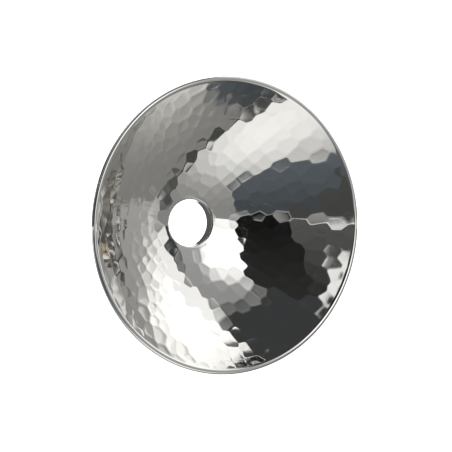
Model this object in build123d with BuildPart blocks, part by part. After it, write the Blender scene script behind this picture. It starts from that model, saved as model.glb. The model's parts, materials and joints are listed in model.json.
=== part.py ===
from build123d import *
from math import atan, cos, degrees, sin, tan
import os

# Reflector of a flash bulb gun: a hammered, polished aluminium bowl with a wired rim, whose drawn neck is
# rolled over inside a turned collar. The gun's lamp head enters the collar from behind, the bulb's base
# comes through the neck, and three knurled thumbscrews with swivel pads hold the lamp head.
#
# Frame: millimetres, +Z up. The optical axis is Y, the mouth of the bowl faces -Y, and the origin is the
# centre of the shoulder at the bottom of the collar's socket, on which the lamp head's front face seats.

# Bowl
rim_diameter = 178.0  # over the rolled bead
bead_diameter = 3.2
focal_length = 34.0
sheet = 0.7
curl_sweep = 290.0  # degrees that the edge is rolled round the wire
wire_play = 0.05  # between the rim wire and the curl, on the radius

# Neck
bore_diameter = 29.4
lip_radius = 1.5  # where the bowl turns into the neck, on the polished side
bend_radius = 0.3  # inside the rolled rear edge of the neck
clinch_width = 1.6  # how far the rolled edge grips the washer under it
neck_play = 0.1  # between the neck and what it passes through, on the radius

# Fibre washer between the bowl's back and the collar
washer_thickness = 0.6
washer_margin = 1.0  # how far the washer stays inside the collar's outer wall
seat_gap = 0.03  # left between faces that lie on each other

# Collar
shoulder_width = 2.4  # the lamp head seats on this, round the clinch washer's pocket
socket_depth = 11.0
collar_wall = 3.0
hub_thickness = 4.9  # the collar's front wall, at the neck
clinch_washer_thickness = 1.2
clinch_washer_width = 1.1  # how far the clinch washer reaches past the rolled edge
pocket_play = 0.2
mouth_chamfer = 0.6
rear_chamfer = 0.5
groove_width = 1.4
groove_depth = 0.5
groove_pitch = 2.8
groove_count = 2

# Thumbscrews, pads and the bosses that they run in
screw_angles = (90.0, 210.0, 330.0)  # about Y, from +X towards +Z
screw_diameter = 4.0
screw_play = 0.1  # on the radius
boss_margin = 0.9  # between the boss and each end of the socket
boss_height = 4.6
screw_travel = 3.0
head_gap = 0.6  # left between head and boss when the screw is right in
head_diameter = 10.8
head_height = 6.0
head_chamfer = 0.6
shoulder_diameter = 6.8
shoulder_height = 1.6
shank_in_head = 5.0
tip_chamfer = 0.4
pad_diameter = 6.0
pad_thickness = 1.8
pad_recess = 0.15  # below the socket's wall when the screw is right out
pad_play = 0.1
stem_diameter = 2.0
stem_length = 2.4
stem_play = 0.05

# Worked out from the sizes above
bore_radius = bore_diameter / 2
bead_radius = bead_diameter / 2
neck_outer = bore_radius + sheet
neck_clear = neck_outer + neck_play
flare_radius = neck_outer + bend_radius + clinch_width
clinch_washer_radius = flare_radius + clinch_washer_width
pocket_radius = clinch_washer_radius + pocket_play
socket_radius = pocket_radius + shoulder_width
collar_radius = socket_radius + collar_wall
washer_radius = collar_radius - washer_margin
boss_radius = socket_depth / 2 - boss_margin
flare_rear_y = -seat_gap
flare_front_y = flare_rear_y - sheet
pocket_floor_y = flare_front_y - clinch_washer_thickness - 2 * seat_gap
stack_behind_bowl = sheet + washer_thickness + 2 * seat_gap
vertex_y = pocket_floor_y - hub_thickness - stack_behind_bowl + neck_clear**2 / (4 * focal_length)
screw_y = socket_depth / 2
boss_face = collar_radius + boss_height
head_base = boss_face + head_gap + screw_travel


def slope_angle(radius):
    """Angle, in radians, between the bowl's normal and its axis at a radius of the polished parabola."""
    return atan(radius / (2 * focal_length))


def behind(radius, offset):
    """The point that lies a normal distance of offset behind the polished parabola at a radius."""
    angle = slope_angle(radius)
    return (
        radius + offset * sin(angle),
        vertex_y - radius**2 / (4 * focal_length) + offset * cos(angle),
    )


def radius_for(x, offset):
    """The parabola radius whose point behind() stands at the distance x from the axis."""
    radius = x
    for _ in range(20):
        radius = x - offset * sin(slope_angle(radius))
    return radius


def curve_behind(x_from, x_to, offset, count=6):
    """A spline along the surface that lies offset behind the polished one, from x_from to x_to off the axis."""
    start, end = radius_for(x_from, offset), radius_for(x_to, offset)
    steps = [start + (end - start) * i / (count - 1) for i in range(count)]
    return Spline(*[behind(radius, offset) for radius in steps])


# The two places where the parabola ends: at the neck's lip and at the bead. Each is tangent to its arc.
lip_start = bore_radius + lip_radius
for _ in range(20):
    lip_start = bore_radius + lip_radius - lip_radius * sin(slope_angle(lip_start))
lip_centre = (bore_radius + lip_radius, behind(lip_start, lip_radius)[1])
bead_centre_x = rim_diameter / 2 - bead_radius
bead_start = radius_for(bead_centre_x, bead_radius)
bead_centre = behind(bead_start, bead_radius)
bead_start_angle = -90 - degrees(slope_angle(bead_start))


def make_bowl():
    """The bowl, its drawn neck and its curled rim, as one sheet of the same thickness all along."""
    lip_point, edge_point = behind(lip_start, 0), behind(bead_start, 0)
    middle_x = (lip_point[0] + edge_point[0]) / 2
    middle_y = lip_point[1] - tan(slope_angle(lip_start)) * (middle_x - lip_point[0])
    lip_sweep = 90 - degrees(slope_angle(lip_start))
    flare_bend = bend_radius + sheet
    flare_centre = (bore_radius + flare_bend, flare_rear_y - flare_bend)
    with BuildPart() as bowl:
        with BuildSketch(Plane.XY):
            with BuildLine():
                Line((flare_radius, flare_front_y), (flare_radius, flare_rear_y))
                Line((flare_radius, flare_rear_y), (flare_centre[0], flare_rear_y))
                CenterArc(flare_centre, flare_bend, 90, 90)
                Line((bore_radius, flare_centre[1]), (bore_radius, lip_centre[1]))
                CenterArc(lip_centre, lip_radius, 180, lip_sweep)
                Bezier(lip_point, (middle_x, middle_y), edge_point)
                outer_curl = CenterArc(bead_centre, bead_radius, bead_start_angle, curl_sweep)
                inner_curl = CenterArc(bead_centre, bead_radius - sheet, bead_start_angle, curl_sweep)
                Line(outer_curl @ 1, inner_curl @ 1)
                inner_lip = CenterArc(lip_centre, lip_radius - sheet, 180, lip_sweep)
                steps = [lip_start + (bead_start - lip_start) * i / 8 for i in range(1, 8)]
                back = [behind(radius, sheet) for radius in steps]
                Spline(
                    [inner_lip @ 1, *back, inner_curl @ 0],
                    tangents=[inner_lip % 1, inner_curl % 0],
                )
                Line(inner_lip @ 0, (neck_outer, flare_centre[1]))
                CenterArc(flare_centre, bend_radius, 90, 90)
                Line((flare_centre[0], flare_front_y), (flare_radius, flare_front_y))
            make_face()
        revolve(axis=Axis.Y)
    return bowl.part


def make_rim_wire():
    """The steel wire that the rim is curled round."""
    with BuildPart() as wire:
        with BuildSketch(Plane.XY):
            with Locations(bead_centre):
                Circle(bead_radius - sheet - wire_play)
        revolve(axis=Axis.Y)
    return wire.part


def make_fibre_washer():
    """The dished fibre washer that keeps the collar off the bowl's back."""
    front, rear = sheet + seat_gap, sheet + seat_gap + washer_thickness
    with BuildPart() as washer:
        with BuildSketch(Plane.XY):
            with BuildLine():
                inside = neck_clear + lip_radius
                face = curve_behind(inside, washer_radius, front)
                back = curve_behind(inside, washer_radius, rear)
                Line(face @ 0, back @ 0)
                Line(face @ 1, back @ 1)
            make_face()
        revolve(axis=Axis.Y)
    return washer.part


def screw_plane(angle, distance):
    """The plane across a thumbscrew's axis, that far from the bowl's axis, facing outwards."""
    outward = Vector(1, 0, 0).rotate(Axis.Y, -angle)
    return Plane(origin=outward * distance + Vector(0, screw_y, 0), x_dir=(0, 1, 0), z_dir=outward)


def make_collar():
    """The turned collar: a hub seated behind the bowl, a socket for the lamp head and three tapped bosses."""
    front_y = vertex_y - 2 * collar_radius**2 / (4 * focal_length)
    with BuildPart() as collar:
        with BuildSketch(Plane.XY):
            with BuildLine():
                Polyline(
                    (neck_clear, front_y),
                    (neck_clear, pocket_floor_y),
                    (pocket_radius, pocket_floor_y),
                    (pocket_radius, 0),
                    (socket_radius, 0),
                    (socket_radius, socket_depth),
                    (collar_radius, socket_depth),
                    (collar_radius, front_y),
                    close=True,
                )
            make_face()
        revolve(axis=Axis.Y)
        with BuildSketch(Plane.XY):
            with BuildLine():
                reach = collar_radius + collar_wall
                seat = curve_behind(bore_radius, reach, stack_behind_bowl)
                Polyline(seat @ 1, (reach, 2 * front_y), (bore_radius, 2 * front_y), seat @ 0)
            make_face()
        revolve(axis=Axis.Y, mode=Mode.SUBTRACT)
        with BuildSketch(Plane.XY):
            for i in range(groove_count):
                with Locations((collar_radius, -groove_width - i * groove_pitch)):
                    Rectangle(2 * groove_depth, groove_width)
        revolve(axis=Axis.Y, mode=Mode.SUBTRACT)
        mouth = collar.edges().filter_by(GeomType.CIRCLE).group_by(Axis.Y)[-1].sort_by(SortBy.RADIUS)
        chamfer(mouth[0], mouth_chamfer)
        rim = collar.edges().filter_by(GeomType.CIRCLE).group_by(Axis.Y)[-1].sort_by(SortBy.RADIUS)
        chamfer(rim[-1], rear_chamfer)
        for angle in screw_angles:
            with BuildSketch(screw_plane(angle, socket_radius + collar_wall / 2)):
                Circle(boss_radius)
            extrude(amount=collar_wall / 2 + boss_height)
            with BuildSketch(screw_plane(angle, 0)):
                Circle(screw_diameter / 2 + screw_play)
            extrude(amount=boss_face, mode=Mode.SUBTRACT)
            with BuildSketch(screw_plane(angle, 0)):
                Circle(pad_diameter / 2 + pad_play)
            extrude(amount=socket_radius + pad_recess + pad_thickness + pad_play, mode=Mode.SUBTRACT)
    return collar.part


def make_clinch_washer():
    """The steel washer that the neck's rear edge is rolled over."""
    with BuildPart() as washer:
        with BuildSketch(Plane.XZ.offset(-pocket_floor_y - seat_gap)):
            Circle(clinch_washer_radius)
            Circle(neck_clear + bend_radius, mode=Mode.SUBTRACT)
        extrude(amount=-clinch_washer_thickness)
    return washer.part


def make_pad(angle):
    """A swivel pad, with the stem that turns in the screw's tip."""
    face = socket_radius + pad_recess
    with BuildPart() as pad:
        with BuildSketch(screw_plane(angle, face)):
            Circle(pad_diameter / 2)
        extrude(amount=pad_thickness)
        chamfer(pad.edges(), tip_chamfer)
        with BuildSketch(screw_plane(angle, face + pad_thickness)):
            Circle(stem_diameter / 2)
        extrude(amount=stem_length)
    return pad.part


def make_shank(angle):
    """A thumbscrew's threaded shank, drilled at its tip for the pad's stem."""
    tip = socket_radius + pad_recess + pad_thickness + seat_gap
    with BuildPart() as shank:
        with BuildSketch(screw_plane(angle, tip)):
            Circle(screw_diameter / 2)
        extrude(amount=head_base + shank_in_head - tip)
        chamfer(shank.edges(), tip_chamfer)
        with BuildSketch(screw_plane(angle, tip)):
            Circle(stem_diameter / 2 + stem_play)
        extrude(amount=stem_length + stem_play, mode=Mode.SUBTRACT)
    return shank.part


def make_head(angle):
    """A thumbscrew's knurled head, drilled for the shank that is pressed into it."""
    with BuildPart() as head:
        with BuildSketch(screw_plane(angle, head_base)):
            Circle(shoulder_diameter / 2)
        extrude(amount=shoulder_height)
        with BuildSketch(screw_plane(angle, head_base + shoulder_height)):
            Circle(head_diameter / 2)
        extrude(amount=head_height)
        rims = head.edges().filter_by(GeomType.CIRCLE).sort_by(SortBy.RADIUS)[-2:]
        chamfer(rims, head_chamfer)
        with BuildSketch(screw_plane(angle, head_base)):
            Circle(screw_diameter / 2)
        extrude(amount=shank_in_head, mode=Mode.SUBTRACT)
    return head.part


os.makedirs("parts", exist_ok=True)
pieces = {
    "reflector_bowl": make_bowl(),
    "rim_wire": make_rim_wire(),
    "fibre_washer": make_fibre_washer(),
    "mount_collar": make_collar(),
    "clinch_washer": make_clinch_washer(),
}
for number, angle in enumerate(screw_angles, start=1):
    pieces[f"swivel_pad_{number}"] = make_pad(angle)
    pieces[f"thumbscrew_shank_{number}"] = make_shank(angle)
    pieces[f"thumbscrew_head_{number}"] = make_head(angle)
for name, piece in pieces.items():
    piece.label = name
    export_step(piece, f"parts/{name}.step")
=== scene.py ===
"""Looks for the detached reflector of a flash bulb gun: a hammered bowl on a collar with thumbscrews."""

import json
import math

import bmesh
import bpy
import numpy as np
from mathutils import Matrix, Vector


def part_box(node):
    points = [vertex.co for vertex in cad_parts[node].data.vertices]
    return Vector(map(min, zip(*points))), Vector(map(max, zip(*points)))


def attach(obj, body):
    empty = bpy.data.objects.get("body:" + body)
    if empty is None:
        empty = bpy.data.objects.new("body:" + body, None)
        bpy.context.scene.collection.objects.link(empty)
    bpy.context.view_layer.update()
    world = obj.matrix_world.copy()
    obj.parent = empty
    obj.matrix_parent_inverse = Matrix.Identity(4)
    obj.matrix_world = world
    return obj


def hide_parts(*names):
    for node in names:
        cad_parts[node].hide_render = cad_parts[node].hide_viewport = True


bl_info = {
    "name": "Hammered Flash Reflector",
    "version": (1, 0, 0),
    "blender": (4, 5, 0),
    "location": "3D View > Sidebar > Reflector",
    "description": "Builds a hammered flash reflector, its thumbscrews, its finishes and a plain studio",
    "category": "Object",
}

MM = 0.001

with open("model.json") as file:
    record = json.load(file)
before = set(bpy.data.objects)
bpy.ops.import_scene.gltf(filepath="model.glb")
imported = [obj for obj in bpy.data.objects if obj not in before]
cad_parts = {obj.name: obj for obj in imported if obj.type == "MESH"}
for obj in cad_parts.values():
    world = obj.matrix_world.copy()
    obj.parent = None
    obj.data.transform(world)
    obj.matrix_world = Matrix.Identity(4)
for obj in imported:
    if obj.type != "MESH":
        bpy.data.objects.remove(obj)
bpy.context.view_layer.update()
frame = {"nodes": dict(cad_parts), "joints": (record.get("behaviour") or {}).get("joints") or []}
BOWL_LOW, BOWL_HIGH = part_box("reflector_bowl")
MOUTH_Y = BOWL_LOW.y
RIM_RADIUS = BOWL_HIGH.x
NECK_REAR_Y = BOWL_HIGH.y
SCREWS = (1, 2, 3)


# ---------------------------------------------------------------- sizes and colours


class BowlSizes(bpy.types.PropertyGroup):
    """Sizes of the bowl's sheet and of the marks that the hammer leaves in it."""

    focal_length: bpy.props.FloatProperty(
        name="Focal length", description="Of the bowl's parabola", default=34.0 * MM, unit="LENGTH"
    )
    sheet: bpy.props.FloatProperty(
        name="Sheet", description="Thickness of the aluminium", default=0.7 * MM, unit="LENGTH"
    )
    bead_radius: bpy.props.FloatProperty(
        name="Bead radius", description="Outside of the rolled rim", default=1.6 * MM, unit="LENGTH"
    )
    curl_sweep: bpy.props.FloatProperty(
        name="Curl sweep",
        description="How far the rim is rolled",
        default=math.radians(290),
        subtype="ANGLE",
    )
    bore_radius: bpy.props.FloatProperty(
        name="Bore radius", description="Inside of the neck", default=14.7 * MM, unit="LENGTH"
    )
    lip_radius: bpy.props.FloatProperty(
        name="Lip radius",
        description="Bend from the bowl into the neck",
        default=1.5 * MM,
        unit="LENGTH",
    )
    neck_bend: bpy.props.FloatProperty(
        name="Neck bend",
        description="Inside bend of the neck's rolled edge",
        default=0.3 * MM,
        unit="LENGTH",
    )
    flare_radius: bpy.props.FloatProperty(
        name="Flare radius",
        description="Outside of the neck's rolled edge",
        default=17.3 * MM,
        unit="LENGTH",
    )
    turns: bpy.props.IntProperty(
        name="Steps", description="Steps of the spin round the axis", default=480
    )
    ring_first: bpy.props.FloatProperty(
        name="First ring",
        description="Radius of the innermost ring of marks",
        default=21.8 * MM,
        unit="LENGTH",
    )
    ring_step: bpy.props.FloatProperty(
        name="Ring step", description="Between the two innermost rings", default=6.3 * MM, unit="LENGTH"
    )
    ring_growth: bpy.props.FloatProperty(
        name="Ring growth",
        description="How much each step is longer than the last",
        default=0.2 * MM,
        unit="LENGTH",
    )
    ring_count: bpy.props.IntProperty(name="Rings", description="Rings of hammer marks", default=10)
    mark_width: bpy.props.FloatProperty(
        name="Mark width",
        description="Of a mark in the innermost ring",
        default=5.2 * MM,
        unit="LENGTH",
    )
    mark_growth: bpy.props.FloatProperty(
        name="Mark growth", description="Width gained per unit of radius", default=0.064
    )
    jitter: bpy.props.FloatProperty(
        name="Jitter", description="How unevenly the marks are placed", default=0.5 * MM, unit="LENGTH"
    )
    tilt: bpy.props.FloatProperty(
        name="Tilt",
        description="How unevenly the marks lean",
        default=math.radians(0.9),
        subtype="ANGLE",
    )
    flatness: bpy.props.FloatProperty(
        name="Flatness", description="1 makes each mark flat, above 1 makes it bulge", default=0.9
    )
    flatness_spread: bpy.props.FloatProperty(
        name="Flatness spread", description="How unlike each other the marks are in that", default=0.12
    )
    ridge: bpy.props.FloatProperty(
        name="Ridge",
        description="Softness of the lines between marks",
        default=0.03 * MM,
        unit="LENGTH",
    )
    groove: bpy.props.FloatProperty(
        name="Groove",
        description="Depth of the fine line round each mark",
        default=0.035 * MM,
        unit="LENGTH",
    )
    plain_rim: bpy.props.FloatProperty(
        name="Plain rim",
        description="Width of the smooth band inside the bead",
        default=2.6 * MM,
        unit="LENGTH",
    )
    plain_neck: bpy.props.FloatProperty(
        name="Plain neck",
        description="Width of the smooth band round the neck",
        default=1.6 * MM,
        unit="LENGTH",
    )


class ScrewSizes(bpy.types.PropertyGroup):
    """Sizes of the knurled heads and the threads of the thumbscrews."""

    knurls: bpy.props.IntProperty(name="Knurls", description="Straight ridges round a head", default=40)
    knurl_depth: bpy.props.FloatProperty(
        name="Knurl depth", description="From crest to root", default=0.32 * MM, unit="LENGTH"
    )
    pitch: bpy.props.FloatProperty(
        name="Pitch", description="Of the thread", default=0.7 * MM, unit="LENGTH"
    )
    thread_depth: bpy.props.FloatProperty(
        name="Thread depth", description="From crest to root", default=0.36 * MM, unit="LENGTH"
    )
    head_radius: bpy.props.FloatProperty(
        name="Head radius", description="Outside of the knurls", default=5.4 * MM, unit="LENGTH"
    )
    head_height: bpy.props.FloatProperty(
        name="Head height", description="Of the knurled part", default=6.0 * MM, unit="LENGTH"
    )
    head_chamfer: bpy.props.FloatProperty(
        name="Head chamfer", description="At both ends of the knurls", default=0.6 * MM, unit="LENGTH"
    )
    shoulder_radius: bpy.props.FloatProperty(
        name="Shoulder radius", description="Under the knurled part", default=3.4 * MM, unit="LENGTH"
    )
    shoulder_height: bpy.props.FloatProperty(
        name="Shoulder height", description="Under the knurled part", default=1.6 * MM, unit="LENGTH"
    )
    dish_radius: bpy.props.FloatProperty(
        name="Dish radius",
        description="Of the shallow turned dish in the end",
        default=3.3 * MM,
        unit="LENGTH",
    )
    dish_depth: bpy.props.FloatProperty(
        name="Dish depth", description="Of that dish", default=0.35 * MM, unit="LENGTH"
    )
    shank_radius: bpy.props.FloatProperty(
        name="Shank radius", description="Over the thread's crests", default=2.0 * MM, unit="LENGTH"
    )
    shank_in_head: bpy.props.FloatProperty(
        name="Shank in head",
        description="Length pressed into the head",
        default=5.0 * MM,
        unit="LENGTH",
    )
    tip_chamfer: bpy.props.FloatProperty(
        name="Tip chamfer", description="At both ends of the shank", default=0.4 * MM, unit="LENGTH"
    )
    tip_hole_radius: bpy.props.FloatProperty(
        name="Tip hole radius", description="For the pad's stem", default=1.05 * MM, unit="LENGTH"
    )
    tip_hole_depth: bpy.props.FloatProperty(
        name="Tip hole depth", description="For the pad's stem", default=2.45 * MM, unit="LENGTH"
    )


class FinishColours(bpy.types.PropertyGroup):
    """Base colours of the finishes, as sRGB hex values."""

    aluminium: bpy.props.StringProperty(
        name="Aluminium", description="Polished sheet", default="F4F3F0"
    )
    wire: bpy.props.StringProperty(name="Wire", description="Galvanised rim wire", default="A9ACAE")
    fibre: bpy.props.StringProperty(name="Fibre", description="Vulcanised fibre", default="5A2318")
    # painted shade: this dark colour goes into the hollows of the fibre bump, mixed with the board's own
    # mottle
    fibre_hollow_shade: bpy.props.StringProperty(
        name="Fibre shade", description="Between its felted fibres", default="2E120D"
    )
    nickel: bpy.props.StringProperty(name="Nickel", description="Nickel plate", default="DAD5CA")
    zinc: bpy.props.StringProperty(name="Zinc", description="Zinc plated steel", default="B7BABC")
    brass: bpy.props.StringProperty(name="Brass", description="Turned brass", default="DCC08A")


# ---------------------------------------------------------------- finishes


def linear(code):
    """An sRGB hex colour as linear red, green, blue and alpha."""
    values = [int(code[i : i + 2], 16) / 255 for i in (0, 2, 4)]
    return (*[v / 12.92 if v <= 0.04045 else ((v + 0.055) / 1.055) ** 2.4 for v in values], 1.0)


def add_node(tree, kind, settings=None, links=None):
    """Adds a node with its properties or sockets set by name, and with sockets linked from other outputs."""
    node = tree.nodes.new(kind)
    for key, value in (settings or {}).items():
        if isinstance(key, str) and hasattr(node, key):
            setattr(node, key, value)
        else:
            node.inputs[key].default_value = value
    for key, source in (links or {}).items():
        tree.links.new(source, node.inputs[key])
    return node


def new_finish(name):
    """A node material, and its tree with no nodes in it yet."""
    material = bpy.data.materials.new(name)
    material.use_nodes = True
    material.node_tree.nodes.clear()
    return material, material.node_tree


def lathe_rings(tree, where):
    """Coordinates that only change along a ring pattern round the bowl's axis: (radius, depth)."""
    flat = {"operation": "MULTIPLY", 1: (1.0, 0.0, 1.0)}
    across = add_node(tree, "ShaderNodeVectorMath", flat, {0: where})
    radius = add_node(tree, "ShaderNodeVectorMath", {"operation": "LENGTH"}, {0: across.outputs[0]})
    along = add_node(tree, "ShaderNodeSeparateXYZ", {}, {"Vector": where})
    rings = add_node(
        tree, "ShaderNodeCombineXYZ", {}, {"X": radius.outputs["Value"], "Y": along.outputs["Y"]}
    )
    return rings.outputs["Vector"]


def metal(name, colour, rough, spread, grain_mm, bump_mm=0.0, dull=0.86, rings=False):
    """A metal whose roughness and tone wander over patches of grain_mm, with a fine relief bump_mm deep.

    With rings, the patches are rings round the bowl's axis, as a lathe leaves them. The tone wanders
    between the colour and dull times the colour, and the roughness by spread to both sides.
    """
    material, tree = new_finish(name)
    where = add_node(tree, "ShaderNodeTexCoord").outputs["Object"]
    patches = add_node(
        tree,
        "ShaderNodeTexNoise",
        {"Scale": 1 / (grain_mm * MM), "Detail": 1.0 if rings else 4.0, "Roughness": 0.6},
        {"Vector": lathe_rings(tree, where) if rings else where},
    )
    dulled = tuple(c * dull for c in linear(colour)[:3]) + (1.0,)
    tone = add_node(
        tree,
        "ShaderNodeMix",
        {"data_type": "RGBA", 6: dulled, 7: linear(colour)},
        {0: patches.outputs["Fac"]},
    )
    # nearly all of the noise lies between 0.3 and 0.7
    roughness = add_node(
        tree,
        "ShaderNodeMapRange",
        {"From Min": 0.3, "From Max": 0.7, "To Min": rough - spread, "To Max": rough + spread},
        {"Value": patches.outputs["Fac"]},
    )
    shader = add_node(
        tree,
        "ShaderNodeBsdfPrincipled",
        {"Metallic": 1.0},
        {"Base Color": tone.outputs[2], "Roughness": roughness.outputs["Result"]},
    )
    if bump_mm:
        relief = add_node(
            tree, "ShaderNodeTexNoise", {"Scale": 4 / (grain_mm * MM), "Detail": 3.0}, {"Vector": where}
        )
        bump = add_node(
            tree,
            "ShaderNodeBump",
            {"Strength": 1.0, "Distance": bump_mm * MM},
            {"Height": relief.outputs["Fac"]},
        )
        tree.links.new(bump.outputs["Normal"], shader.inputs["Normal"])
    add_node(tree, "ShaderNodeOutputMaterial", {}, {"Surface": shader.outputs["BSDF"]})
    return material


def polished_aluminium(colour):
    """Polished soft aluminium sheet: a near mirror, with buffing haze in patches and a trace of ripple."""
    return metal(
        "polished_aluminium_sheet", colour, rough=0.055, spread=0.02, grain_mm=9.0, bump_mm=0.0025, dull=0.93
    )


def drawn_wire(colour):
    """Drawn, galvanised steel wire: soft grey, with a low frosty shine."""
    return metal("galvanised_drawn_wire", colour, rough=0.42, spread=0.10, grain_mm=1.5, bump_mm=0.01)


def nickel_plate(colour):
    """Nickel plate on turned brass: warm and bright, a little worn to a haze."""
    return metal(
        "nickel_plated_brass", colour, rough=0.24, spread=0.05, grain_mm=8.0, bump_mm=0.001, dull=0.93
    )


def turned_nickel(colour):
    """Nickel plate on the turned collar: lathe rings, drawn coarser than they are so that they show."""
    return metal("turned_nickel_plate", colour, rough=0.3, spread=0.09, grain_mm=0.5, dull=0.8, rings=True)


def zinc_plate(colour):
    """Zinc plated steel: cool grey, with a soft broken shine."""
    return metal("zinc_plated_steel", colour, rough=0.34, spread=0.08, grain_mm=4.0, bump_mm=0.001, dull=0.9)


def turned_brass(colour):
    """Turned brass: yellow, with fine tool marks and a dull bloom."""
    return metal("turned_brass", colour, rough=0.3, spread=0.06, grain_mm=3.0, bump_mm=0.001, dull=0.85)


def vulcanised_fibre(colour, dark):
    """Vulcanised fibre board: dark red-brown, matt, with short felted fibres that show on its faces. The dark
    colour falls where its bump is low: painted shade in the hollows, mixed with the board's own mottle.
    """
    material, tree = new_finish("vulcanised_fibre_board")
    place = add_node(tree, "ShaderNodeTexCoord")
    fibres = add_node(
        tree,
        "ShaderNodeTexNoise",
        {"Scale": 1 / (0.6 * MM), "Detail": 6.0, "Roughness": 0.75},
        {"Vector": place.outputs["Object"]},
    )
    # the same noise makes the bump, so its low places take the dark colour: painted shade in the hollows,
    # mixed with the board's own mottle
    tone = add_node(
        tree,
        "ShaderNodeMix",
        {"data_type": "RGBA", 6: linear(dark), 7: linear(colour)},
        {0: fibres.outputs["Fac"]},
    )
    bump = add_node(
        tree,
        "ShaderNodeBump",
        {"Strength": 1.0, "Distance": 0.03 * MM},
        {"Height": fibres.outputs["Fac"]},
    )
    shader = add_node(
        tree,
        "ShaderNodeBsdfPrincipled",
        {"Roughness": 0.62, "IOR": 1.5},
        {"Base Color": tone.outputs[2], "Normal": bump.outputs["Normal"]},
    )
    add_node(tree, "ShaderNodeOutputMaterial", {}, {"Surface": shader.outputs["BSDF"]})
    return material


def give(piece, material):
    """Puts one finish on all of a piece."""
    piece.data.materials.clear()
    piece.data.materials.append(material)


# ---------------------------------------------------------------- turned and spun pieces


def spun(name, points, axis, steps, closed=False, merge=1e-6, smooth=35):
    """Spins edges through the points, joined into a loop if closed, a whole turn round an axis.

    Points nearer than merge become one, and edges that turn less than smooth degrees look smooth.
    """
    edges = [(i, i + 1) for i in range(len(points) - 1)]
    if closed:
        edges.append((len(points) - 1, 0))
    bpy.ops.object.select_all(action="DESELECT")
    mesh = bpy.data.meshes.new(name)
    mesh.from_pydata(points, edges, [])
    piece = bpy.data.objects.new(name, mesh)
    bpy.context.scene.collection.objects.link(piece)
    piece.select_set(True)
    bpy.context.view_layer.objects.active = piece
    bpy.ops.object.mode_set(mode="EDIT")
    bpy.ops.mesh.select_all(action="SELECT")
    bpy.ops.mesh.spin(steps=steps, angle=2 * math.pi, center=(0, 0, 0), axis=axis)
    bpy.ops.mesh.select_all(action="SELECT")
    bpy.ops.mesh.remove_doubles(threshold=merge)
    bpy.ops.mesh.normals_make_consistent(inside=False)
    bpy.ops.object.mode_set(mode="OBJECT")
    bpy.ops.object.shade_smooth_by_angle(angle=math.radians(smooth))
    return piece


# ---------------------------------------------------------------- the bowl

# how many steps each stretch of the sheet's outline has
FLARE_STEPS = 5
LIP_STEPS = 7
FRONT_STEPS = 104
BEAD_STEPS = 20
BEAD_INSIDE_STEPS = 8
BACK_STEPS = 38
BEND_INSIDE_STEPS = 3

SOLVER_STEPS = 30  # enough for BowlShape.parameter to settle
ON_SHEET = 2e-6  # a point this near to a side of the sheet, in metres, lies on it
BATCH = 4000  # points whose marks are worked out at one time
SEED = 7


def arc(centre, radius, start, sweep, steps):
    """Points round an arc in the plane of radius and depth, the first and last included."""
    angles = [start + sweep * i / steps for i in range(steps + 1)]
    return [(centre[0] + radius * math.cos(a), centre[1] + radius * math.sin(a)) for a in angles]


class BowlShape:
    """The bowl's parabola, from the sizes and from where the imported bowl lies."""

    def __init__(self, sizes):
        self.s = sizes
        self.bead = (RIM_RADIUS - sizes.bead_radius, MOUTH_Y + sizes.bead_radius)
        self.edge = self.parameter(self.bead[0], sizes.bead_radius)
        rise = self.edge**2 / (4 * sizes.focal_length)
        self.vertex_y = self.bead[1] + rise - sizes.bead_radius * np.cos(self.slope(self.edge))
        lip_x = sizes.bore_radius + sizes.lip_radius
        self.start = self.parameter(lip_x, sizes.lip_radius)
        self.lip = (lip_x, self.point(self.start, sizes.lip_radius)[1])

    def slope(self, radius):
        """Angle of the parabola's normal off the axis."""
        return np.arctan(radius / (2 * self.s.focal_length))

    def point(self, radius, offset):
        """The point, as radius and depth, that lies offset behind the polished side at a radius."""
        angle = self.slope(radius)
        depth = self.vertex_y - radius**2 / (4 * self.s.focal_length)
        return radius + offset * np.sin(angle), depth + offset * np.cos(angle)

    def parameter(self, x, offset):
        """The radius on the polished side whose offset point stands at radius x."""
        radius = x
        for _ in range(SOLVER_STEPS):
            radius = x - offset * np.sin(self.slope(radius))
        return radius

    def surface(self, offset, steps):
        """Points along a side of the bowl, from the lip to the bead, without its two ends."""
        return [
            self.point(self.start + (self.edge - self.start) * i / steps, offset) for i in range(1, steps)
        ]

    def profile(self):
        """The sheet's whole outline, as a closed loop of points (radius, depth)."""
        s = self.s
        bend = s.neck_bend + s.sheet
        corner = (s.bore_radius + bend, NECK_REAR_Y - bend)
        lip_sweep = math.pi / 2 - self.slope(self.start)
        bead_start = -math.pi / 2 - self.slope(self.edge)
        bead_end = bead_start + s.curl_sweep
        points = [(s.flare_radius, NECK_REAR_Y)]
        points += arc(corner, bend, math.pi / 2, math.pi / 2, FLARE_STEPS)
        points += arc(self.lip, s.lip_radius, math.pi, lip_sweep, LIP_STEPS)
        points += self.surface(0, FRONT_STEPS)
        points += arc(self.bead, s.bead_radius, bead_start, s.curl_sweep, BEAD_STEPS)
        points += arc(self.bead, s.bead_radius - s.sheet, bead_end, -s.curl_sweep, BEAD_INSIDE_STEPS)
        points += self.surface(s.sheet, BACK_STEPS)[::-1]
        points += arc(self.lip, s.lip_radius - s.sheet, math.pi + lip_sweep, -lip_sweep, BEND_INSIDE_STEPS)
        points += arc(corner, s.neck_bend, math.pi, -math.pi / 2, BEND_INSIDE_STEPS)
        points.append((s.flare_radius, NECK_REAR_Y - s.sheet))
        return points


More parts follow.
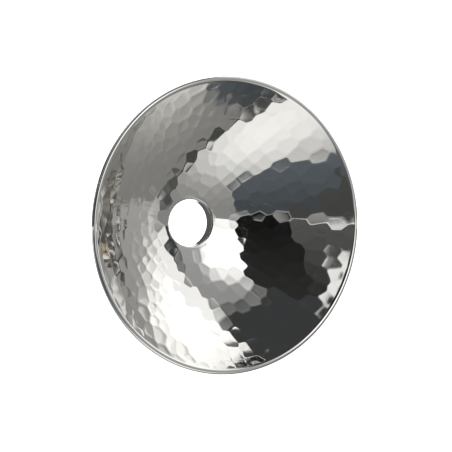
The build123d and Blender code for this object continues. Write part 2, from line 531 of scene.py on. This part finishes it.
def mark_centres(sizes):
    """Where each blow lands, as (x, z), how it leans and how flat it is, in staggered, uneven rings."""
    chance = np.random.RandomState(SEED)
    centres = []
    radius = sizes.ring_first
    step = sizes.ring_step
    for ring in range(sizes.ring_count):
        width = sizes.mark_width + sizes.mark_growth * (radius - sizes.ring_first)
        count = round(2 * math.pi * radius / width)
        for i in range(count):
            angle = 2 * math.pi * (i + 0.5 * (ring % 2)) / count
            centres.append((radius * math.cos(angle), radius * math.sin(angle)))
        radius += step
        step += sizes.ring_growth
    centres = np.array(centres) + chance.normal(0, sizes.jitter, (len(centres), 2))
    leans = chance.normal(0, math.tan(sizes.tilt), (len(centres), 2))
    flats = sizes.flatness + chance.normal(0, sizes.flatness_spread, len(centres))
    return centres, leans, flats


def mark_depth(points, s):
    """How far the blows push the sheet at each point (x, z): the nearest mark wins, with a line between."""
    centres, leans, flats = mark_centres(s)
    depth = np.empty(len(points))
    for first in range(0, len(points), BATCH):
        batch = slice(first, first + BATCH)
        gap = points[batch, None, :] - centres[None]
        height = flats * (gap**2).sum(-1) / (4 * s.focal_length) + (gap * leans[None]).sum(-1)
        low = height.min(1)
        total = np.exp((low[:, None] - height) / s.ridge).sum(1)
        share = 1 / total
        depth[batch] = low - s.ridge * np.log(total) + s.groove * 4 * share * (1 - share)
    return depth


def smooth_step(x):
    """0 below 0 and 1 above 1, with a smooth rise between."""
    x = np.clip(x, 0, 1)
    return x**2 * (3 - 2 * x)


def hammer(mesh, shape):
    """Pushes the bowl's sheet into the marks, square to its slope, and leaves the neck and the rim plain."""
    s = shape.s
    co = np.empty(len(mesh.vertices) * 3)
    mesh.vertices.foreach_get("co", co)
    co = co.reshape(-1, 3)
    radius = np.hypot(co[:, 0], co[:, 2])
    # the radius on the polished side that a point belongs to, or 0 for a point off the bowl
    foot = np.zeros(len(radius))
    for thickness in (0.0, s.sheet):
        r = shape.parameter(radius, thickness)
        gap = abs(co[:, 1] - shape.point(r, thickness)[1])
        here = (gap < ON_SHEET) & (r > shape.start) & (r < shape.edge)
        foot[here] = r[here]
    index = np.flatnonzero(foot)
    foot = foot[index]
    at = co[index][:, (0, 2)] * (foot / radius[index])[:, None]
    push = mark_depth(at, s)
    fade_in = smooth_step((foot - shape.start) / s.plain_neck)
    fade_out = smooth_step((shape.edge - foot) / s.plain_rim)
    push = (push - push.mean()) * (fade_in * fade_out)
    angle = shape.slope(foot)
    around = at / np.linalg.norm(at, axis=1)[:, None]
    square = push * np.cos(angle)
    co[index, 0] += square * np.sin(angle) * around[:, 0]
    co[index, 2] += square * np.sin(angle) * around[:, 1]
    co[index, 1] += square * np.cos(angle)
    mesh.vertices.foreach_set("co", co.ravel())
    mesh.update()


class REFLECTOR_OT_bowl(bpy.types.Operator):
    """Spin the hammered bowl with its neck and its rolled rim"""

    bl_idname = "reflector.bowl"
    bl_label = "Hammered Bowl"

    def execute(self, context):
        sizes = context.scene.reflector_bowl_sizes
        shape = BowlShape(sizes)
        outline = [(x, y, 0) for x, y in shape.profile()]
        piece = spun("hammered_bowl", outline, (0, 1, 0), sizes.turns, closed=True, merge=2e-6, smooth=50)
        hammer(piece.data, shape)
        give(piece, polished_aluminium(context.scene.reflector_colours.aluminium))
        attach(piece, "reflector")
        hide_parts("reflector_bowl")
        return {"FINISHED"}


# ---------------------------------------------------------------- the thumbscrews

CORNER_BEVEL = 0.2 * MM  # where the shoulder meets the knurled part
GRIP_ROWS = 6  # along the knurls
STEPS_PER_KNURL = 4
ROWS_PER_PITCH = 8
SHANK_STEPS = 32
KNURL_MARGIN = 0.05 * MM  # a head is knurled from this far outside the flats at its ends
THREAD_MARGIN = 0.01 * MM  # a shank is threaded where it is this near to its full radius


def screw_axis(number):
    """A thumbscrew's direction outwards and its depth along the bowl's axis, from the joint it turns on."""
    joint = next(j for j in frame["joints"] if j["name"] == f"screw_{number}_turn")
    return -Vector(joint["axis"]), joint["pos_m"][1]


def turned(name, profile, steps):
    """A piece turned round +Z from its profile (radius, height)."""
    return spun(name, [(r, 0, z) for r, z in profile], (0, 0, 1), steps)


def cut_grooves(piece, inner, depth, count_at):
    """Cuts V grooves, depth deep, into all that lies outside the inner radius.

    count_at gives, from the share of a turn and the height, how many grooves lie before a point.
    """
    for vertex in piece.data.vertices:
        radius = math.hypot(vertex.co.x, vertex.co.y)
        if radius > inner:
            count = count_at(math.atan2(vertex.co.y, vertex.co.x) / (2 * math.pi), vertex.co.z)
            cut = 2 * abs(count - round(count)) * depth
            vertex.co.x *= 1 - cut / radius
            vertex.co.y *= 1 - cut / radius
    return piece


def knurled_head(s):
    """The head, with its foot at z = 0: a shoulder, straight knurls between chamfers and a dished end."""
    foot = s.shoulder_height
    top = foot + s.head_height
    inner = s.head_radius - s.head_chamfer
    grip = s.head_height - 2 * s.head_chamfer
    profile = [(0, 0), (s.shoulder_radius, 0), (s.shoulder_radius, foot - CORNER_BEVEL)]
    profile += [(s.shoulder_radius + CORNER_BEVEL, foot), (inner, foot)]
    profile += [(s.head_radius, foot + s.head_chamfer + grip * i / GRIP_ROWS) for i in range(GRIP_ROWS + 1)]
    profile += [(inner, top), (s.dish_radius + s.dish_depth, top)]
    profile += [(s.dish_radius, top - s.dish_depth), (0, top - s.dish_depth)]
    piece = turned("knurled_head", profile, STEPS_PER_KNURL * s.knurls)
    return cut_grooves(piece, inner + KNURL_MARGIN, s.knurl_depth, lambda turn, height: turn * s.knurls)


def threaded_shank(s, length):
    """The shank, with its tip at z = 0: a right-hand thread, chamfered ends and a hole for the pad's stem."""
    inner = s.shank_radius - s.tip_chamfer
    step = s.pitch / ROWS_PER_PITCH
    rows = int((length - 2 * s.tip_chamfer) / step)
    profile = [(0, s.tip_hole_depth), (s.tip_hole_radius, s.tip_hole_depth), (s.tip_hole_radius, 0)]
    profile += [(inner, 0)]
    profile += [(s.shank_radius, s.tip_chamfer + step * i) for i in range(rows)]
    profile += [(s.shank_radius, length - s.tip_chamfer), (inner, length), (0, length)]
    piece = turned("threaded_shank", profile, SHANK_STEPS)
    return cut_grooves(
        piece, s.shank_radius - THREAD_MARGIN, s.thread_depth, lambda turn, height: height / s.pitch - turn
    )


class REFLECTOR_OT_thumbscrews(bpy.types.Operator):
    """Turn the three knurled heads and the three threaded shanks"""

    bl_idname = "reflector.thumbscrews"
    bl_label = "Thumbscrews"

    def execute(self, context):
        s = context.scene.reflector_screw_sizes
        # the first screw stands straight up, so its height gives how far out each screw lies
        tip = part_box("thumbscrew_shank_1")[0].z
        head_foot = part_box("thumbscrew_head_1")[0].z
        length = head_foot + s.shank_in_head - tip
        head = knurled_head(s)
        shank = threaded_shank(s, length)
        finishes = context.scene.reflector_colours
        give(head, nickel_plate(finishes.nickel))
        give(shank, zinc_plate(finishes.zinc))
        for kind, model, start, finish in (
            ("head", head, head_foot, "nickel_head"),
            ("shank", shank, tip, "plated_steel"),
        ):
            for number in SCREWS:
                outward, level = screw_axis(number)
                piece = model.copy()
                piece.data = model.data.copy()
                piece.name = f"thumb_{kind}_{number}"
                context.scene.collection.objects.link(piece)
                turn = outward.to_track_quat("Z", "Y").to_matrix().to_4x4()
                piece.data.transform(Matrix.Translation(outward * start + Vector((0, level, 0))) @ turn)
                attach(piece, f"screw_{number}")
                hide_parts(f"thumbscrew_{kind}_{number}")
            bpy.data.objects.remove(model)
        return {"FINISHED"}


# ---------------------------------------------------------------- the collar, washers, pads and wire


class REFLECTOR_OT_hardware(bpy.types.Operator):
    """Give the rim wire, the washers, the collar and the pads their finishes"""

    bl_idname = "reflector.hardware"
    bl_label = "Collar and Washers"

    def execute(self, context):
        colours = context.scene.reflector_colours
        nodes = frame["nodes"]
        brass = turned_brass(colours.brass)
        give(nodes["rim_wire"], drawn_wire(colours.wire))
        give(nodes["fibre_washer"], vulcanised_fibre(colours.fibre, colours.fibre_hollow_shade))
        give(nodes["mount_collar"], turned_nickel(colours.nickel))
        # the zinc plate that the thumbscrews' shanks already have
        give(nodes["clinch_washer"], bpy.data.materials["zinc_plated_steel"])
        for number in SCREWS:
            give(nodes[f"swivel_pad_{number}"], brass)
        return {"FINISHED"}


# ---------------------------------------------------------------- the studio

# in metres
FLOOR_Z = -0.32
FLOOR_REACH = 12.0
MAT_LIFT = 3 * MM
MAT_REACH = 6.0
SWEEP_Y = 0.35
SWEEP_BACK_Y = 7.0
SWEEP_HEIGHT = 5.0

NEUTRAL = "FFFFFF"
COOL = "E3F2FF"
GREENISH = "FAFFF8"
POOL_WHITE = "FFFFFD"
AIR_WHITE = "F5FAFF"
PAPER_WHITE = "F4F4F2"

# name, azimuth, elevation, distance, width and height in degrees, glow at the foot and at the top,
# share of the half width over which the edges fade, colour, roll in degrees
CARDS = (
    ("spill_card", 14, 24, 1.8, 66, 92, 0.46, 0.27, 0.3, NEUTRAL, 0),
    ("main_softbox", -6, 22, 1.6, 60, 70, 1.5, 1.4, 0.75, NEUTRAL, 0),
    ("side_softbox", 70, 34, 1.6, 34, 74, 0.9, 1.05, 0.3, NEUTRAL, 0),
    ("far_right_card", 115, -5, 1.5, 50, 60, 0.55, 0.5, 0.3, NEUTRAL, 0),
    ("grey_flag", -67, 24, 0.42, 40, 52, 0.1, 0.02, 0.15, GREENISH, 0),
    ("low_grey_flag", -67, -23, 0.42, 40, 37, 0.07, 0.06, 0.15, GREENISH, 0),
    ("black_flag", -36, 22, 0.4, 32, 62, 0.003, 0.028, 0.08, NEUTRAL, 10),
    ("blue_flag", -44, -31, 0.4, 58, 38, 0.14, 0.065, 0.2, COOL, 0),
    ("strip_softbox", -68, 37, 0.36, 8, 50, 0.9, 0.9, 0.4, NEUTRAL, 0),
    ("low_right_flag", 145, -60, 0.24, 150, 60, 0.04, 0.25, 0.1, NEUTRAL, 0),
    ("rear_softbox", 180, 58, 1.8, 100, 50, 0.75, 0.95, 0.6, NEUTRAL, 0),
    ("neck_flag", 200, 0, 0.5, 84, 100, 0.12, 0.08, 0.3, NEUTRAL, 0),
)


class StudioSizes(bpy.types.PropertyGroup):
    """Where the camera stands and how bright the air of the studio is."""

    azimuth: bpy.props.FloatProperty(
        name="Azimuth", description="Of the camera", default=math.radians(-27.2), subtype="ANGLE"
    )
    elevation: bpy.props.FloatProperty(
        name="Elevation", description="Of the camera", default=math.radians(2.0), subtype="ANGLE"
    )
    distance: bpy.props.FloatProperty(
        name="Distance", description="From the rim's centre", default=1.2, unit="LENGTH"
    )
    lens: bpy.props.FloatProperty(name="Lens", description="Focal length in millimetres", default=160.3)
    shift_x: bpy.props.FloatProperty(name="Shift across", description="Of the lens", default=-0.0092)
    shift_y: bpy.props.FloatProperty(name="Shift up", description="Of the lens", default=-0.0006)
    air_glow: bpy.props.FloatProperty(name="Air glow", description="Light from all round", default=0.047)


def paper(name, glow):
    """Matt white paper for the floor and the backdrop, lit evenly by its own glow."""
    material, tree = new_finish(name)
    shader = add_node(
        tree,
        "ShaderNodeBsdfPrincipled",
        {
            "Base Color": linear(PAPER_WHITE),
            "Roughness": 0.9,
            "Emission Color": (1.0, 1.0, 1.0, 1.0),
            "Emission Strength": glow,
        },
    )
    add_node(tree, "ShaderNodeOutputMaterial", {}, {"Surface": shader.outputs["BSDF"]})
    return material


def card_face(name, colour, low, high, soft):
    """The face of a card: its glow goes from low at the foot to high at the top, and its edges fade out."""
    material, tree = new_finish(name)
    place = add_node(tree, "ShaderNodeTexCoord").outputs["UV"]
    from_centre = {"operation": "SUBTRACT", 1: (0.5, 0.5, 0.0)}
    offset = add_node(tree, "ShaderNodeVectorMath", from_centre, {0: place})
    offset = add_node(tree, "ShaderNodeVectorMath", {"operation": "ABSOLUTE"}, {0: offset.outputs[0]})
    to_edge = {"operation": "SUBTRACT", 0: (0.5, 0.5, 0.0)}
    inside = add_node(tree, "ShaderNodeVectorMath", to_edge, {1: offset.outputs[0]})
    sides = add_node(tree, "ShaderNodeSeparateXYZ", {}, {"Vector": inside.outputs[0]})
    fades = [
        add_node(
            tree,
            "ShaderNodeMapRange",
            {"interpolation_type": "SMOOTHSTEP", "From Max": soft / 2},
            {"Value": sides.outputs[axis]},
        ).outputs["Result"]
        for axis in ("X", "Y")
    ]
    cover = add_node(tree, "ShaderNodeMath", {"operation": "MULTIPLY"}, {0: fades[0], 1: fades[1]})
    height = add_node(tree, "ShaderNodeSeparateXYZ", {}, {"Vector": place})
    glow = add_node(
        tree, "ShaderNodeMapRange", {"To Min": low, "To Max": high}, {"Value": height.outputs["Y"]}
    )
    light = add_node(
        tree, "ShaderNodeEmission", {"Color": linear(colour)}, {"Strength": glow.outputs["Result"]}
    )
    nothing = add_node(tree, "ShaderNodeBsdfTransparent")
    shader = add_node(
        tree,
        "ShaderNodeMixShader",
        {},
        {0: cover.outputs[0], 1: nothing.outputs["BSDF"], 2: light.outputs["Emission"]},
    )
    add_node(tree, "ShaderNodeOutputMaterial", {}, {"Surface": shader.outputs["Shader"]})
    return material


def pool_face(name, centre, spread, edge_glow, centre_glow):
    """The face of the floor mat: a pool of light round centre that fades to an even grey."""
    material, tree = new_finish(name)
    place = add_node(tree, "ShaderNodeTexCoord").outputs["Object"]
    away = add_node(tree, "ShaderNodeVectorMath", {"operation": "DISTANCE", 1: centre}, {0: place})
    scaled = {"operation": "DIVIDE", 1: spread}
    away = add_node(tree, "ShaderNodeMath", scaled, {0: away.outputs["Value"]})
    square = add_node(tree, "ShaderNodeMath", {"operation": "POWER", 1: 2.0}, {0: away.outputs[0]})
    square = add_node(tree, "ShaderNodeMath", {"operation": "ADD", 1: 1.0}, {0: square.outputs[0]})
    fall = add_node(tree, "ShaderNodeMath", {"operation": "POWER", 1: -2.0}, {0: square.outputs[0]})
    glow = add_node(
        tree,
        "ShaderNodeMapRange",
        {"To Min": edge_glow, "To Max": centre_glow},
        {"Value": fall.outputs[0]},
    )
    light = add_node(
        tree, "ShaderNodeEmission", {"Color": linear(POOL_WHITE)}, {"Strength": glow.outputs["Result"]}
    )
    add_node(tree, "ShaderNodeOutputMaterial", {}, {"Surface": light.outputs["Emission"]})
    return material


def toward(azimuth, elevation):
    """The direction that lies azimuth from straight out of the mouth, towards +X, and elevation up."""
    level = math.cos(elevation)
    return Vector((math.sin(azimuth) * level, -math.cos(azimuth) * level, math.sin(elevation)))


def flat_sheet(name, place, material):
    """A flat square stage piece of 1 m, put in its place by a matrix, with its finish."""
    bpy.ops.object.select_all(action="DESELECT")
    bpy.ops.mesh.primitive_plane_add(size=1, location=(0, 0, 0))
    piece = bpy.context.object
    piece.name = name
    piece.data.transform(place)
    give(piece, material)
    return piece


def hide_from_camera(piece):
    """A card lights the bowl and shows in it, but the camera doesn't see it and it casts no shadow."""
    piece.visible_camera = False
    piece.visible_shadow = False


def card(name, azimuth, elevation, distance, width, height, low, high, soft, colour, roll):
    """A flat card that faces the bowl's mouth, with its size given in degrees as the bowl sees it."""
    across = 2 * distance * math.tan(math.radians(width) / 2)
    up = 2 * distance * math.tan(math.radians(height) / 2)
    direction = toward(math.radians(azimuth), math.radians(elevation))
    face_bowl = direction.to_track_quat("Z", "Y").to_matrix().to_4x4()
    turn = face_bowl @ Matrix.Rotation(math.radians(roll), 4, "Z")
    place = Matrix.Translation(Vector((0, MOUTH_Y, 0)) + direction * distance)
    face = card_face(name + "_face", colour, low, high, soft)
    hide_from_camera(flat_sheet(name, place @ turn @ Matrix.Diagonal((across, up, 1, 1)), face))


def level_sheet(low, high):
    """The matrix that lays a square of 1 m between two corners of the same height."""
    size = Vector(high) - Vector(low)
    return Matrix.Translation((Vector(high) + Vector(low)) / 2) @ Matrix.Diagonal((size.x, size.y, 1, 1))


def floor_paper():
    """The pale floor, and a mat of light on it that only shows as a reflection in the bowl."""
    floor = level_sheet((-FLOOR_REACH, -FLOOR_REACH, FLOOR_Z), (FLOOR_REACH, SWEEP_Y, FLOOR_Z))
    flat_sheet("pale_floor", floor, paper("floor_paper", glow=0.7))
    mat_z = FLOOR_Z + MAT_LIFT
    mat = level_sheet((-MAT_REACH, -MAT_REACH, mat_z), (MAT_REACH, SWEEP_Y, mat_z))
    pool = pool_face(
        "floor_mat_face", centre=(-0.01, -0.15, mat_z), spread=0.3, edge_glow=0.25, centre_glow=1.0
    )
    hide_from_camera(flat_sheet("floor_mat", mat, pool))


def sweep_paper():
    """The white sweep behind the object: floor that turns up into a wall."""
    sweep = level_sheet((-FLOOR_REACH, SWEEP_Y, FLOOR_Z), (FLOOR_REACH, SWEEP_BACK_Y, FLOOR_Z))
    piece = flat_sheet("white_sweep", sweep, paper("sweep_paper", glow=1.0))
    bpy.ops.object.mode_set(mode="EDIT")
    bpy.ops.mesh.select_mode(type="EDGE")
    bpy.ops.mesh.select_all(action="DESELECT")
    sheet = bmesh.from_edit_mesh(piece.data)
    halfway = (SWEEP_Y + SWEEP_BACK_Y) / 2
    for edge in sheet.edges:
        edge.select_set(all(v.co.y > halfway for v in edge.verts))
    bmesh.update_edit_mesh(piece.data)
    bpy.ops.mesh.extrude_region_move(TRANSFORM_OT_translate={"value": (0, 0, SWEEP_HEIGHT)})
    bpy.ops.object.mode_set(mode="OBJECT")


def cove_wall():
    """A pale wall round the whole studio, which the bowl doesn't reflect."""
    bpy.ops.object.select_all(action="DESELECT")
    bpy.ops.mesh.primitive_cylinder_add(
        vertices=96, radius=FLOOR_REACH, depth=FLOOR_REACH, end_fill_type="NOTHING"
    )
    wall = bpy.context.object
    wall.name = "cove_wall"
    give(wall, paper("cove_paper", glow=0.8))
    wall.visible_glossy = False
    wall.visible_diffuse = False
    wall.visible_shadow = False


class REFLECTOR_OT_stage(bpy.types.Operator):
    """Set up the floor, the backdrop, the cards and the camera"""

    bl_idname = "reflector.stage"
    bl_label = "Studio"

    def execute(self, context):
        scene = context.scene
        studio = scene.reflector_studio
        world = bpy.data.worlds.new("studio_air")
        world.use_nodes = True
        air = world.node_tree.nodes["Background"]
        air.inputs["Color"].default_value = linear(AIR_WHITE)
        air.inputs["Strength"].default_value = studio.air_glow
        scene.world = world
        scene.view_settings.view_transform = "Standard"

        floor_paper()
        sweep_paper()
        cove_wall()
        for row in CARDS:
            card(*row)

        camera_data = bpy.data.cameras.new("camera")
        camera_data.lens = studio.lens
        camera_data.sensor_width = 36
        camera_data.clip_start = 0.05
        camera_data.clip_end = 50
        camera_data.shift_x = studio.shift_x
        camera_data.shift_y = studio.shift_y
        camera = bpy.data.objects.new("camera", camera_data)
        scene.collection.objects.link(camera)
        outward = toward(studio.azimuth, studio.elevation)
        camera.location = Vector((0, MOUTH_Y, 0)) + outward * studio.distance
        camera.rotation_mode = "QUATERNION"
        camera.rotation_quaternion = (-outward).to_track_quat("-Z", "Y")
        scene.camera = camera
        return {"FINISHED"}


# ---------------------------------------------------------------- panel and registration


class REFLECTOR_PT_panel(bpy.types.Panel):
    """The sidebar panel that builds each piece"""

    bl_label = "Hammered Reflector"
    bl_idname = "REFLECTOR_PT_panel"
    bl_space_type = "VIEW_3D"
    bl_region_type = "UI"
    bl_category = "Reflector"

    def draw(self, context):
        for operator in OPERATORS:
            self.layout.operator(operator.bl_idname)


OPERATORS = (REFLECTOR_OT_bowl, REFLECTOR_OT_thumbscrews, REFLECTOR_OT_hardware, REFLECTOR_OT_stage)
CLASSES = (BowlSizes, ScrewSizes, FinishColours, StudioSizes, *OPERATORS, REFLECTOR_PT_panel)
SETTINGS = {
    "reflector_bowl_sizes": BowlSizes,
    "reflector_screw_sizes": ScrewSizes,
    "reflector_colours": FinishColours,
    "reflector_studio": StudioSizes,
}


def register():
    for cls in CLASSES:
        bpy.utils.register_class(cls)
    for name, group in SETTINGS.items():
        setattr(bpy.types.Scene, name, bpy.props.PointerProperty(type=group))


def unregister():
    for name in SETTINGS:
        delattr(bpy.types.Scene, name)
    for cls in reversed(CLASSES):
        bpy.utils.unregister_class(cls)


def main():
    register()
    bpy.ops.reflector.bowl()
    bpy.ops.reflector.thumbscrews()
    bpy.ops.reflector.hardware()
    bpy.ops.reflector.stage()


if __name__ == "__main__":
    main()
